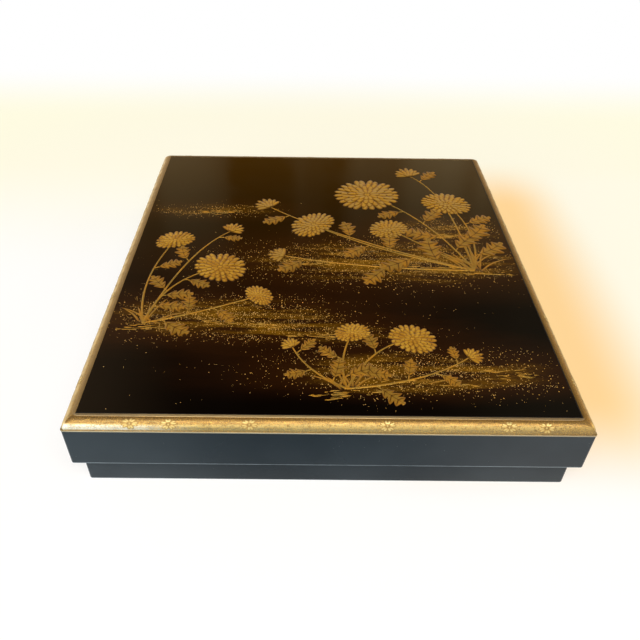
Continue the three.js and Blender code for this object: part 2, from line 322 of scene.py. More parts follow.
def addStudio():
    addFloor()
    addRoom()
    for name, lamp in lamps.items():
        data = bpy.data.lights.new(name, "AREA")
        data.shape = "RECTANGLE"
        data.size, data.size_y = lamp["size"]
        data.energy = lamp["watts"]
        data.color = lamp["color"]
        light = placed(name, data)
        light.location = lamp["at"]
        light.visible_camera = False
        light.rotation_euler = (-Vector(lamp["at"])).to_track_quat("-Z", "Y").to_euler()
    bpy.context.scene.view_settings.view_transform = "Standard"


def span(node):  # a node's lowest and highest corner, in millimetres
    low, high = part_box(node)
    return low / mm, high / mm


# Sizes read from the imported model
lipLow, lipHigh = span("lid_rim_front")
panelLow, panelHigh = span("lid_top_board")
skirtLow, skirtHigh = span("lid_wall_front")
baseLow, baseHigh = span("base_wall_front")
floorHigh = span("base_floor_board")[1]
box = {
    "lip": (span("lid_rim_right")[1].x, -lipLow.y),
    "skirt": (span("lid_wall_right")[1].x, -skirtLow.y),
    "base": (span("base_wall_right")[1].x, -baseLow.y),
    "top": lipHigh.z - 0.2,  # the strip lies nearly level with the panel
    "lipBottom": lipLow.z,
    "skirtBottom": skirtLow.z,
    "underside": panelLow.z,
    "panelTop": panelHigh.z,
    "rimWidth": lipHigh.y - lipLow.y,
    "skirtWall": skirtHigh.y - skirtLow.y,
    "baseWall": baseHigh.y - baseLow.y,
    "baseTop": baseHigh.z,
    "floorTop": floorHigh.z,
    "floorReach": floorHigh.x,
}
box["panel"] = tuple(outline - box["rimWidth"] for outline in box["lip"])

rim = {
    "fillet": 1.7,  # width of the flat strip round the panel
    "filletStep": 0.3,
    "lap": 0.45,  # how far the panel's black runs onto the strip, in front and on the right
    "lipHeight": 0.75,
    "lipDepth": 0.5,
    "ease": 0.22,  # radius of its small edges
    "corner": 1.25,  # radius in plan at the lip
    "softCorner": 3.0,  # radius in plan where the round meets the strip
    "rebate": 2.0,
    "roundSteps": 18,
}
wall = {"corner": 1.25, "ease": 0.35, "skirtFoot": 0.6, "baseFoot": 0.8}


# Finishes

tones = {
    "black": rgb(0.0006, 0.0005, 0.0004),
    "brownBlack": rgb(0.0018, 0.0010, 0.0006),
    "sideBlack": rgb(0.0028, 0.0054, 0.0080),
    # bluish grey bloom, also the painted reflection that makes each side paler towards its corners
    "sideBloom": rgb(0.0220, 0.0295, 0.0360),
    "sideSpeck": rgb(0.26, 0.28, 0.28),
    # pale line along a foot: wear and a painted edge highlight
    "edgeWear": rgb(0.20, 0.25, 0.29),
    "haze": rgb(0.030, 0.0090, 0.0018),
    "mist": rgb(0.200, 0.094, 0.004),
    "mistDot": rgb(0.76, 0.45, 0.10),
    "dust": rgb(0.70, 0.42, 0.09),
    # painted reflection down the rim's round: brown shade under the strip, a highlight band, olive shade
    # lower
    "rimBrown": rgb(0.30, 0.172, 0.046),
    "rimLight": rgb(0.54, 0.41, 0.155),  # painted highlight, a band along the middle of the round
    "rimOlive": rgb(0.285, 0.213, 0.088),
    # worn gold, also used as painted shade that dims the highlight and darkens the left lip
    "rimWorn": rgb(0.17, 0.105, 0.040),
    # painted reflection of a low window on the rim's left end, white in front, straw on the sides
    "rimWhite": rgb(0.86, 0.82, 0.68),
    "rimStraw": rgb(0.54, 0.42, 0.21),
    "rimLip": rgb(0.36, 0.315, 0.225),
    "stripFront": rgb(0.34, 0.275, 0.170),  # the flat strip, side by side, as painted reflection: lit in front, shaded on the right and behind
    "stripMiddle": rgb(0.56, 0.45, 0.25),
    "stripLeft": rgb(0.37, 0.265, 0.130),
    "stripRight": rgb(0.17, 0.098, 0.020),
    "stripBack": rgb(0.085, 0.056, 0.022),
    "rimFlower": rgb(0.56, 0.44, 0.18),
    "rimFlowerDeep": rgb(0.48, 0.36, 0.13),
    "rimLine": rgb(0.25, 0.160, 0.048),
    "gold": rgb(0.54, 0.285, 0.016),
    "goldPale": rgb(0.63, 0.370, 0.038),
    "goldAmber": rgb(0.42, 0.195, 0.009),
    "goldDeep": rgb(0.26, 0.108, 0.006),
    "greenPale": rgb(0.46, 0.290, 0.055),
    "greenGold": rgb(0.29, 0.172, 0.022),
    "line": rgb(0.040, 0.016, 0.003),
    "flake": rgb(0.92, 0.62, 0.22),
    "brown": rgb(0.050, 0.018, 0.006),
    "brownPale": rgb(0.075, 0.030, 0.010),
    "wood": rgb(0.62, 0.44, 0.23),
    "woodDark": rgb(0.46, 0.29, 0.13),
    "slate": rgb(0.016, 0.017, 0.020),
    "slatePale": rgb(0.040, 0.040, 0.046),
    "copper": rgb(0.30, 0.175, 0.095),
    "copperDark": rgb(0.12, 0.072, 0.048),
}

mist = {
    "patches": [  # sprinkled gold: middle, reach either way, and strength
        {"at": (36, -7), "reach": (88, 21), "strength": 1.0},
        {"at": (70, 25), "reach": (36, 13), "strength": 0.8},
        {"at": (-50, -54), "reach": (62, 17), "strength": 1.0},
        {"at": (-12, -66), "reach": (54, 9), "strength": 0.7},
        {"at": (40, -92), "reach": (64, 15), "strength": 1.0},
        {"at": (-66, 46), "reach": (40, 8), "strength": 0.5},
    ],
    "sway": 10.0,  # how far the patches wander up and down
    "drift": (20, 5),  # and how far their edges fray, across and along
    "haze": 1.45,  # how many times wider the loose dots reach
    "glow": 2.1,  # how many times wider the brown under the black reaches
    "glowFront": (-113, -98),  # where that brown sets in, from the front
    "streak": 4.2,  # thickness of the streaks
}
sideSheenAndWear = {
    "corner": (95, 15),  # distance from a corner, from which the lacquer grows paler towards it: a painted reflection that leaves the middle of each side darker
    "edge": (-0.05, 0, 0.5, 0.95),  # height over the foot of the pale line, wear and a painted edge highlight
}


def sideLacquer(name, foot=None, paleness=0.0):  # foot: the level of a lower edge with a pale line of wear and painted highlight
    finish = Finish(name, {"Specular IOR Level": 0.17})
    x, y, lift = finish.axes(finish.place())
    fromCorner = (box["lip"][0] - abs(x)).math("MAXIMUM", box["lip"][1] - abs(y))
    # painted reflection: paler towards the corners, darker in the middle of each side
    wearAndSheen = fromCorner.within(sideSheenAndWear["corner"])
    cloud = finish.grain(60, 3).smooth(0.36, 0.66)
    rubbed = finish.grain(3.0, 4, (0.12, 0.12, 1.6))
    speck = finish.cells(2.6).smooth(0.035, 0.055, 1, 0) * finish.grain(16).smooth(0.48, 0.60)
    coats = [(wearAndSheen * 0.6 + cloud * 0.35 + paleness, "sideBloom"), (speck * 0.45, "sideSpeck")]
    if foot is not None:
        # a pale line along the foot: wear and a painted edge highlight, stronger near the corners
        edge = finish.grain(18, 3).smooth(0.3, 0.6, 0.25, 0.55) + wearAndSheen * 0.3
        coats.append((edge * (lift - foot).within(sideSheenAndWear["edge"]), "edgeWear"))
    return finish.paint(
        Base_Color=finish.layers("sideBlack", *coats),
        Roughness=rubbed.smooth(0.3, 0.7, 0.17, 0.27) + speck * 0.3,
        Normal=finish.bump(finish.grain(14, 2, (0.5, 0.5, 1.5)), 0.05),
    )


def mistMask(finish, widen=1.0):  # how much gold is sprinkled here, from 0 to 1
    x, y, z = finish.axes(finish.place())
    sway = finish.grain(30, 3, (0.8, 1.4, 1))
    drift = finish.grain(6, 3, (0.3, 1.4, 1))
    x = x + (drift - 0.5) * mist["drift"][0]
    y = y + (sway - 0.5) * mist["sway"] + (drift - 0.5) * mist["drift"][1]
    total = 0.0
    for patch in mist["patches"]:
        across = (x - patch["at"][0]) / (patch["reach"][0] * widen)
        along = (y - patch["at"][1]) / (patch["reach"][1] * widen)
        total = total + (across * across + along * along).smooth(0.0, 1.0, patch["strength"], 0)
    return total.clamp() * z.smooth(box["panelTop"] - 1.2, box["panelTop"] - 0.8)


def panelLacquer():
    finish = Finish("panelLacquer")
    y = finish.axes(finish.place())[1]
    haze = mistMask(finish, mist["haze"])
    glow = mistMask(finish, mist["glow"]) * y.within(mist["glowFront"])
    streaks = finish.grain(mist["streak"], 3, (0.12, 1, 1), 0.45).smooth(0.36, 0.68)
    sprinkled = mistMask(finish) * streaks
    cloudy = finish.grain(0.9, 3, (0.5, 1, 1), 0.7).smooth(0.30, 0.72, 0.35, 1)
    fine = finish.dots(0.7, 0.32, sprinkled * 0.42 + haze * 0.10)
    dots = fine.math("MAXIMUM", finish.dots(1.3, 0.24, sprinkled * 0.35 + haze * 0.24))
    return finish.paint(
        Base_Color=finish.layers(
            "black",
            (finish.grain(70, 2), "brownBlack"),
            (haze * 0.3 + glow * 0.35, "haze"),
            (sprinkled * cloudy, "mist"),
            (dots, "mistDot"),
        ),
        Metallic=dots * 0.45,
        Roughness=finish.grain(20, 3).smooth(0.3, 0.7, 0.07, 0.11) + dots * 0.25,
        Normal=finish.bump(finish.grain(55, 1), 0.10),
    )


rimLook = {  # depths are measured down from the shoulder of the round, x from the middle of the box
    # the bands of the round are painted reflection: brown shade, highlight, olive shade
    "brownDepth": (1.3, 0.5),
    "oliveDepth": (1.6, 2.8),
    "drop": {"x": (10, -70), "by": 0.45},  # the painted highlight band of the front lies lower on the left
    # painted shade that dims the highlight, on the left and at the right end
    "dimLeft": {"x": (-40, -90), "depth": (1.6, 0.9), "share": 0.5},
    "dimRight": {"x": (84, 104), "share": 0.45},
    "pale": {"x": (-50, -96), "sides": -0.5, "front": 1.2, "share": 0.85},  # painted reflection of a low window on the rim's left end; the depths where it starts
    "stipple": {"x": (50, 74, 98, 106), "depth": (0.5, 1.0, 2.6, 3.6), "share": 0.65},
    "stripMiddle": (-100, -65, 42, 64),
    "stripSides": (-50, 50),
    "stripDepth": (-0.08, -0.24),
    "mitre": (-0.25, 0.25),
    # painted shade along the lip of the left side
    "darkLip": (-108.8, -109.4),
    "metal": 0.72,
}


def rimLacquer():
    look, finish = rimLook, Finish("rimGold")
    patchy = finish.grain(4, 4, rough=0.65)
    powder = finish.grain(0.5, 3, rough=0.8)
    hollow = finish.grain(0.8, 3, rough=0.8)
    x, y, lift = finish.axes(finish.place())
    depth = box["top"] - rim["filletStep"] - lift
    lipTop = box["lipBottom"] + rim["lipHeight"]
    fromSide = box["lip"][0] - abs(x)
    front = (fromSide - (y + box["lip"][1])).within(look["mitre"])
    back = (fromSide + (y - box["lip"][1])).within(look["mitre"])
    lower = front * x.within(look["drop"]["x"]) * look["drop"]["by"]
    left, right, pale, dotted = look["dimLeft"], look["dimRight"], look["pale"], look["stipple"]
    # painted shade: dims the highlight on the upper left and at the right end
    paintedDim = x.within(left["x"]) * depth.within(left["depth"]) * left["share"]
    paintedDim = paintedDim + x.within(right["x"]) * right["share"]
    # painted reflection of a low window, whitening the rim's left end
    start = pale["sides"] + front * (pale["front"] - pale["sides"])
    paintedGlint = x.within(pale["x"]) * (depth - start).smooth(0.0, 1.0)
    paintedGlint = paintedGlint * lift.smooth(lipTop, lipTop + 0.5) * pale["share"]
    speckle = hollow.smooth(0.52, 0.60) * depth.smooth(2.8, 0.8, 0.35, 0.85)
    stipple = front * x.within(dotted["x"]) * depth.within(dotted["depth"]) * dotted["share"]
    # painted reflection on the flat strip: lit in front, shaded on the right and behind
    strip = finish.mix(x.within(look["stripSides"]), "stripLeft", "stripRight")
    near = finish.mix(x.within(look["stripMiddle"]), "stripFront", "stripMiddle")
    strip = finish.mix(front, finish.mix(back, strip, "stripBack"), near)
    # painted shade: the lip darker along the left side
    lip = finish.mix(x.within(look["darkLip"]) * (1 - front), "rimLip", "rimWorn")
    innerX, innerY = box["panel"]
    inside = (y + innerY).math("MINIMUM", innerX - x)  # how far inside the panel's edge
    lap = inside.within((-rim["lap"] - 0.1, -rim["lap"], 0.1, 0.3))
    lap = lap * x.smooth(-innerX - 0.2, -innerX) * y.smooth(innerY + 0.2, innerY)
    tone = finish.layers(
        # painted highlight on the round, with painted brown and olive shade above and below it
        "rimLight",
        ((depth - lower).within(look["brownDepth"]), "rimBrown"),
        (depth.within(look["oliveDepth"]), "rimOlive"),
        (front * paintedDim, "rimWorn"),
        (paintedGlint, finish.mix(front, "rimStraw", "rimWhite")),
        (patchy.smooth(0.42, 0.75, 0, 0.4), "rimWorn"),
        (speckle * (0.3 + front * 0.7), "rimWorn"),
        (powder.smooth(0.50, 0.60, 0, 0.6), "dust"),
        (finish.dots(1.0, 0.5, 0.6) * stipple, "rimWorn"),
        (depth.within(look["stripDepth"]) * 0.65, strip),
        (lift.smooth(lipTop + 0.05, lipTop - 0.15, 0, 0.85), lip),
        (lap, "black"),
    )
    return finish.paint(
        Base_Color=tone,
        Metallic=(1 - lap) * look["metal"],
        Roughness=patchy.smooth(0.3, 0.7, 0.38, 0.52),
        Normal=finish.bump(finish.grain(0.7, 3, rough=0.7), 0.06),
    )


def raisedGold(name, light, dark, engraved="line", deep="goldDeep"):
    finish = Finish(name, {"Metallic": 0.5, "Specular IOR Level": 0.25})
    patchy = finish.grain(5, 3)
    powder = finish.grain(0.4, 2, rough=0.7)
    line = finish.node("Attribute", {"attribute_name": "line"}, output=2)
    return finish.paint(
        Base_Color=finish.layers(
            light,
            (patchy.smooth(0.35, 0.7), dark),
            (powder.smooth(0.45, 0.65, 0, 0.3), "dust"),
            # the deep tone along outlines and, as painted shade, towards the feet of petals
            (line.smooth(0.0, 0.42, 0, 0.85), deep),
            (line.smooth(0.5, 0.8, 0, 0.92), engraved),
        ),
        Roughness=patchy.smooth(0.3, 0.7, 0.38, 0.5),
        Normal=finish.bump(powder, 0.012),
    )


def speckledLacquer():
    finish = Finish("speckledLacquer")
    flake = finish.cells(0.9).smooth(0.16, 0.24, 1, 0) * finish.chance(0.9).smooth(0.45, 0.5)
    metal = flake * 0.9 + finish.grain(0.4, 1).smooth(0.56, 0.66) * 0.35
    return finish.paint(
        Base_Color=finish.layers("brown", (finish.grain(40, 2), "brownPale"), (metal, "gold")),
        Metallic=metal * 0.7,
        Roughness=metal.smooth(0, 1, 0.14, 0.35),
    )


def bareWood():
    finish = Finish("bareWood", {"Specular IOR Level": 0.3, "Roughness": 0.7})
    rings = finish.grain(1.2, 4, (1, 1, 0.12))
    return finish.paint(Base_Color=finish.mix(rings, "wood", "woodDark"), Normal=finish.bump(rings, 0.03))


def inkSlate():
    finish = Finish("inkSlate")
    bedding = finish.grain(9, 5, (0.5, 1.6, 1), 0.6)
    fine = finish.grain(0.6, 3)
    wearAndSheen = finish.grain(30, 3).smooth(0.4, 0.7)
    return finish.paint(
        Base_Color=finish.mix(bedding.smooth(0.3, 0.75), "slate", "slatePale"),
        Roughness=fine.smooth(0.3, 0.7, 0.5, 0.64) - wearAndSheen * 0.12,
        Normal=finish.bump(fine, 0.03),
    )


def oldCopper():
    finish = Finish("oldCopper", {"Metallic": 0.95})
    stain = finish.grain(6, 5, rough=0.6)
    return finish.paint(
        Base_Color=finish.mix(stain.smooth(0.25, 0.80), "copper", "copperDark"),
        Roughness=stain.smooth(0.3, 0.7, 0.26, 0.42),
        Normal=finish.bump(finish.grain(0.8, 3), 0.02),
    )


finishes = {
    "lidSide": sideLacquer("lidSideLacquer", box["skirtBottom"]),
    "baseSide": sideLacquer("baseSideLacquer", 0.0, 0.2),
    "tray": sideLacquer("trayLacquer"),
    "panel": panelLacquer(),
    "rim": rimLacquer(),
    "blossom": raisedGold("blossomGold", "goldPale", "goldAmber"),
    "paleBlossom": raisedGold("paleBlossomGold", "greenPale", "gold"),
    "leaf": raisedGold("leafGold", "greenGold", "goldAmber"),
    "rimFlower": raisedGold("rimFlowerGold", "rimFlower", "rimFlowerDeep", "rimLine", "rimBrown"),
    "rimScroll": raisedGold("rimScrollGold", "rimOlive", "rimLight", "rimLine"),
    "surround": raisedGold("surroundGold", "goldPale", "gold"),
    "fleck": raisedGold("fleckGold", "flake", "dust"),
    "speckled": speckledLacquer(),
    "wood": bareWood(),
    "slate": inkSlate(),
    "copper": oldCopper(),
}
print("finishes made:", len(finishes))


# Building meshes

def tubeFaces(count, rows):  # of a closed section of count points carried along, with both ends
    faces = [list(range(count)), list(range((rows - 1) * count, rows * count))]
    for first in range(0, (rows - 1) * count, count):
        for column in range(count):
            after = (column + 1) % count
            faces.append([first + column, first + after, first + count + after, first + count + column])
    return faces


class Relief:  # points and faces of one piece, and how far each point lies in an engraved line or in painted shade at a petal's foot
    def __init__(self):
        self.points = []
        self.faces = []
        self.lines = []

    def add(self, points, faces, lines=None):
        first = len(self.points)
        self.points += points
        self.faces += [[first + index for index in face] for face in faces]
        self.lines += lines or [0.0] * len(points)

    def build(self, name, finish, body, slot, replaced, creases):
        mesh = bpy.data.meshes.new(name)
        mesh.from_pydata([Vector(point) * mm for point in self.points], [], self.faces)
        mesh.attributes.new("line", "FLOAT", "POINT").data.foreach_set("value", self.lines)
        dress(mesh, name, finish, body, replaced, creases)

    def gild(self, name, finish, creases=60):  # as gold on the lid
        self.build(name, finish, "lid", "gold_lacquer", [], creases)


def dress(mesh, name, finish, body, replaced, creases):  # creases: degrees
    form = bmesh.new()
    form.from_mesh(mesh)
    bmesh.ops.remove_doubles(form, verts=form.verts, dist=0.0002 * mm)
    bmesh.ops.recalc_face_normals(form, faces=form.faces)
    form.to_mesh(mesh)
    form.free()
    mesh.polygons.foreach_set("use_smooth", [True] * len(mesh.polygons))
    mesh.set_sharp_from_angle(angle=radians(creases))
    mesh.materials.clear()
    mesh.materials.append(finishes[finish])
    piece = placed(name, mesh)
    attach(piece, body)
    if replaced:
        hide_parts(*replaced)


def softened(node, finish, body, width):  # the node's solid with eased edges
    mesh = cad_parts[node].data.copy()
    form = bmesh.new()
    form.from_mesh(mesh)
    bmesh.ops.remove_doubles(form, verts=form.verts, dist=0.001 * mm)
    bmesh.ops.dissolve_limit(form, angle_limit=radians(1), verts=form.verts, edges=form.edges)
    sharp = [edge for edge in form.edges if edge.is_manifold and edge.calc_face_angle() > radians(40)]
    bmesh.ops.bevel(form, geom=sharp, offset=width * mm, segments=3, profile=0.5, affect="EDGES")
    form.to_mesh(mesh)
    form.free()
    dress(mesh, node + "_finished", finish, body, [node], 50)


def arc(centre, radii, first, last, steps):  # degrees, from +u towards +z
    made = []
    for step in range(steps + 1):
        angle = radians(first + (last - first) * step / steps)
        made.append((centre[0] + radii[0] * cos(angle), centre[1] + radii[1] * sin(angle)))
    return made


def quarter(u, z, radius, first, steps=3):
    return arc((u, z), (radius, radius), first, first + 90, steps)


# The four sides of the box: s runs along a side, u inwards from its outline
sides = {
    "front": {"long": "x", "plan": lambda s, u, outline: (s, u - outline[1])},
    "right": {"long": "y", "plan": lambda s, u, outline: (outline[0] - u, s)},
    "back": {"long": "x", "plan": lambda s, u, outline: (-s, outline[1] - u)},
    "left": {"long": "y", "plan": lambda s, u, outline: (u - outline[0], -s)},
}
path = {"cornerSteps": 6, "lengthSteps": 32}


def mitredSide(side, outline, section, radiusAt):  # a closed section swept along one side, round the corners
    plan = sides[side]["plan"]
    half = outline[0] if sides[side]["long"] == "x" else outline[1]
    stations = []
    for step in range(path["cornerSteps"]):
        stations.append((-1, 45 * (1 - step / path["cornerSteps"])))
    for step in range(path["lengthSteps"] + 1):
        stations.append((2 * step / path["lengthSteps"] - 1, 0))
    for step in range(1, path["cornerSteps"] + 1):
        stations.append((1, 45 * step / path["cornerSteps"]))
    made = Relief()
    points = []
    for along, turn in stations:
        bend = radians(turn)
        for u, z in section:
            radius = radiusAt(u, z)
            s = along * (half - u - radius) + copysign(radius * sin(bend), along)
            points.append((*plan(s, u + radius - radius * cos(bend), outline), z))
    made.add(points, tubeFaces(len(section), len(stations)))
    return made


def rimRound():  # where the moulding's round begins and ends, and its two radii
    edge = box["rimWidth"] - rim["fillet"]
    lipTop = box["lipBottom"] + rim["lipHeight"]
    return edge, lipTop, (edge - rim["lipDepth"], box["top"] - rim["filletStep"] - lipTop)


def rimSection():
    top, ease = box["top"], rim["ease"]
    edge, lipTop, rounds = rimRound()
    inner = box["lip"][0] - box["skirt"][0] + box["skirtWall"]
    section = quarter(box["rimWidth"] - ease, top - ease, ease, 0)
    section += quarter(edge + ease, top - ease, ease, 90)
    section += arc((edge, lipTop), rounds, 90, 180, rim["roundSteps"])
    section += quarter(ease, lipTop - ease, ease, 90)
    section += quarter(ease, box["lipBottom"] + ease, ease, 180)
    seat = box["underside"] + rim["rebate"]
    return section + [(inner, box["lipBottom"]), (inner, seat), (box["rimWidth"], seat)]


def lidSideSection():
    ease, foot, low, thickness = wall["ease"], wall["skirtFoot"], box["skirtBottom"], box["skirtWall"]
    section = [(thickness, box["lipBottom"]), (0, box["lipBottom"])]
    section += quarter(foot, low + foot, foot, 180, 6)
    return section + quarter(thickness - ease, low + ease, ease, 270, 4)


def baseSideSection():
    ease, foot, top, thickness = wall["ease"], wall["baseFoot"], box["baseTop"], box["baseWall"]
    rebate = box["base"][0] - box["floorReach"]
    section = quarter(foot, foot, foot, 180, 6)
    section += [(rebate, 0), (rebate, box["floorTop"]), (thickness, box["floorTop"])]
    section += quarter(thickness - ease, top - ease, ease, 0)
    return section + quarter(ease, top - ease, ease, 90)


def wallCorner(u, z):  # radius in plan of the line at depth u and height z
    return max(0.0, wall["corner"] - u)


def rimCorner(u, z):  # tight at the lip, wide where the round meets the flat strip, sharp at the panel
    edge, lipTop, rounds = rimRound()
    if z < lipTop or u > box["rimWidth"]:
        return max(0.0, rim["corner"] - u)
    if u > edge:
        return rim["softCorner"] * (box["rimWidth"] - u) / rim["fillet"]
    return rim["corner"] + (rim["softCorner"] - rim["corner"]) * (z - lipTop) / rounds[1]


def addBoxShell():
    for side in sides:
        made = mitredSide(side, box["lip"], rimSection(), rimCorner)
        made.build(f"rim_{side}", "rim", "lid", "gold_lacquer", [f"lid_rim_{side}"], 32)
        made = mitredSide(side, box["skirt"], lidSideSection(), wallCorner)
        made.build(f"lid_side_{side}", "lidSide", "lid", "black_lacquer", [f"lid_wall_{side}"], 40)
        made = mitredSide(side, box["base"], baseSideSection(), wallCorner)
        made.build(f"base_side_{side}", "baseSide", "base", "black_lacquer", [f"base_wall_{side}"], 40)
    print("shell made")


# Raised gold: every petal, leaf and stroke is a blade, a domed strip along a spine

def moved(place, angle, reach):  # radians
    return place[0] + reach * cos(angle), place[1] + reach * sin(angle)


def ontoPanel(x, y, rise):
    return (x, y, box["panelTop"] + rise)


def onPanel(x, y, margin):  # whether a place on the lid keeps this far from the rim
    return abs(x) < box["panel"][0] - margin and abs(y) < box["panel"][1] - margin


def ontoRim(side):  # s runs along the rim and t down its round, both over the surface
    edge, lipTop, rounds = rimRound()
    plan = sides[side]["plan"]

    def onto(s, t, rise):
        angle = 2 * t / sum(rounds)
        u = edge - (rounds[0] + rise) * sin(angle)
        return (*plan(s, u, box["lip"]), lipTop + (rounds[1] + rise) * cos(angle))

    return onto


sunk = 0.04  # how far the feet of raised gold go into the lacquer
bladeSection = (  # place across, height, and how far the point lies in the engraved outline
    (-1.0, 0.0, 1.0), (-0.8, 0.62, 0.55), (-0.3, 0.95, 0.0),
    (0.3, 0.95, 0.0), (0.8, 0.62, 0.55), (1.0, 0.0, 1.0),
)


def blade(made, spine, widths, height, rise=0.0, engraved=0.0, onto=ontoPanel):
    widest, last = max(widths), len(spine) - 1
    points, lines = [], []
    for index, (x, y) in enumerate(spine):
        back, ahead = spine[max(index - 1, 0)], spine[min(index + 1, last)]
        dx, dy = ahead[0] - back[0], ahead[1] - back[1]
        length = hypot(dx, dy) or 1.0
        half = widths[index]
        swell = height * sqrt(half / widest)
        foot = max(0.0, 0.45 - 1.4 * index / last)  # painted shade: petals darken towards their foot
        for side, lift, line in bladeSection:
            level = rise + swell * lift if lift else rise - sunk
            points.append(onto(x - dy / length * half * side, y + dx / length * half * side, level))
            lines.append(engraved * (1.0 if index in (0, last) else max(line, foot)))
    made.add(points, tubeFaces(len(bladeSection), len(spine)), lines)


def curve(start, direction, length, bend, steps):  # degrees; bend is the turn over the whole length
    spine = [start]
    for step in range(steps):
        angle = radians(direction + bend * (step + 0.5) / steps)
        spine.append(moved(spine[-1], angle, length / steps))
    return spine


petalShape = [0.42, 0.60, 0.78, 0.93, 1.0, 0.97, 0.78, 0.30]  # half widths from foot to tip
lobeShape = [0.35, 0.74, 0.97, 1.0, 0.88, 0.62, 0.20]
bladeShape = [0.55, 0.85, 1.0, 0.98, 0.90, 0.78, 0.62, 0.42, 0.14]


def petal(made, start, direction, length, width, bend, height, rise, shape=petalShape, onto=ontoPanel):
    spine = curve(start, direction, length, bend, len(shape) - 1)
    blade(made, spine, [width * part for part in shape], height, rise, 1.0, onto)


def bead(made, x, y, radius, height, rise=0.0, sidesCount=8, engraved=0.0, onto=ontoPanel):
    points = [onto(x, y, rise + height)]
    for reach, lift in ((0.6, 0.8), (1.0, 0.0)):
        for step in range(sidesCount):
            level = rise + height * lift if lift else rise - sunk
            points.append(onto(*moved((x, y), tau * step / sidesCount, radius * reach), level))
    faces = []
    for step in range(sidesCount):
        after = (step + 1) % sidesCount
        faces.append([0, 1 + step, 1 + after])
        faces.append([1 + step, 1 + sidesCount + step, 1 + sidesCount + after, 1 + after])
    faces.append([1 + sidesCount + step for step in range(sidesCount)])
    made.add(points, faces, [engraved] * len(points))


bloom = {
    "rings": [  # from, to, petals, and level
        {"from": 0.52, "to": 1.00, "petals": 22, "level": 0.02},
        {"from": 0.36, "to": 0.82, "petals": 18, "level": 0.16},
        {"from": 0.20, "to": 0.60, "petals": 13, "level": 0.30},
        {"from": 0.07, "to": 0.38, "petals": 9, "level": 0.42},
    ],
    "petalHeight": 0.30,
    "abreast": 0.86,  # share of a ring's reach at which its petals lie side by side
    "gap": 0.97,  # share of its place that a petal fills
    "fullSize": 50,  # radius by which a flower has that many more petals
}


def chrysanthemum(made, at, radius, draw, squash, lean, openness):
    # squash flattens the flower along lean; openness below 1 shortens the petals on the near side
    leaning = radians(lean)
    for ring in bloom["rings"]:
        petals = round(ring["petals"] * (0.75 + radius / bloom["fullSize"]))
        for index in range(petals):
            angle = tau * (index + draw.uniform(-0.08, 0.08)) / petals
            reach = openness + (1 - openness) * (0.5 + 0.5 * cos(angle - leaning))
            length = radius * (ring["to"] - ring["from"]) * draw.uniform(0.93, 1.05)
            width = pi * radius * ring["to"] * bloom["abreast"] / petals * bloom["gap"]
            start = moved((0, 0), angle, radius * ring["from"])
            spine = []
            for x, y in curve(start, degrees(angle), length, draw.uniform(-16, 16), 7):
                along = x * cos(leaning) + y * sin(leaning)
                shift = along * (squash * reach - 1)
                spine.append(moved((at[0] + x, at[1] + y), leaning, shift))
            edgeOn = abs(sin(angle - leaning))
            narrow = squash + (1 - squash) * (1 - edgeOn)
            widths = [width * narrow * part for part in petalShape]
            blade(made, spine, widths, bloom["petalHeight"], ring["level"], 1.0)
    for index in range(7):
        angle = tau * index / 6
        reach = 0 if index == 6 else radius * 0.06
        bead(made, at[0] + reach * cos(angle), at[1] + reach * sin(angle) * squash,
             radius * 0.035, 0.16, 0.56, 6)


foliage = {
    "lobes": 3,  # on each side of the tip
    "steps": 28,
    "across": (-1.0, -0.86, -0.5, -0.08, 0.0, 0.08, 0.5, 0.86, 1.0),
    "halfWidth": 0.36,  # share of the leaf's length
    "notch": 0.62,  # how deep the leaf is cut between lobes
    "sweep": 0.75,  # how far the lobes lean towards the tip
    "height": 0.26,
    "stalk": {"length": 3.0, "width": 0.32, "height": 0.14},
    "turn": 52,  # from the stem, in degrees
    "places": (0.16, 0.72),  # of the first leaf on the stem, and from there to the last
    "stem": {"width": 0.55, "height": 0.18},
}


def leaf(made, base, direction, length, draw):  # lobed, with engraved veins
    bend = draw.uniform(-32, 32)
    steps, across = foliage["steps"], foliage["across"]
    waves = foliage["lobes"] + 0.5
    veins = [round((2 * lobe + 1) / (2 * waves) * steps) for lobe in range(foliage["lobes"])]
    points, lines = [], []
    for step, (x, y) in enumerate(curve(base, direction, length, bend, steps)):
        part = step / steps
        heading = radians(direction + bend * part)
        ahead = (cos(heading), sin(heading))
        lobing = 1 - foliage["notch"] * (1 - abs(sin(pi * waves * part))) * min(1, 5 * part)
        reach = length * foliage["halfWidth"] * sin(pi * part ** 0.8) ** 0.7 * lobing + 0.05
        for side in across:
            out = side * reach
            forward = abs(out) * foliage["sweep"] * (1 - 0.6 * part)
            place = (x + ahead[0] * forward - ahead[1] * out, y + ahead[1] * forward + ahead[0] * out)
            edge = abs(side)
            swell = foliage["height"] * sqrt(1 - edge ** 3) * (0.55 + 0.45 * lobing)
            points.append(ontoPanel(*place, swell if edge < 1 else -sunk))
            vein = side == 0 or (step in veins and edge < 0.8)
            lines.append(1.0 if vein or edge == 1 or step in (0, steps) else 0.45 if edge > 0.8 else 0.0)
    made.add(points, tubeFaces(len(across), steps + 1), lines)


def bow(start, by, end, steps=22):  # a smooth run from start to end that leans towards by
    spine = []
    for step in range(steps + 1):
        part = step / steps
        weights = ((1 - part) ** 2, 2 * part * (1 - part), part ** 2)
        spine.append(tuple(sum(w * p[axis] for w, p in zip(weights, (start, by, end))) for axis in (0, 1)))
    return spine


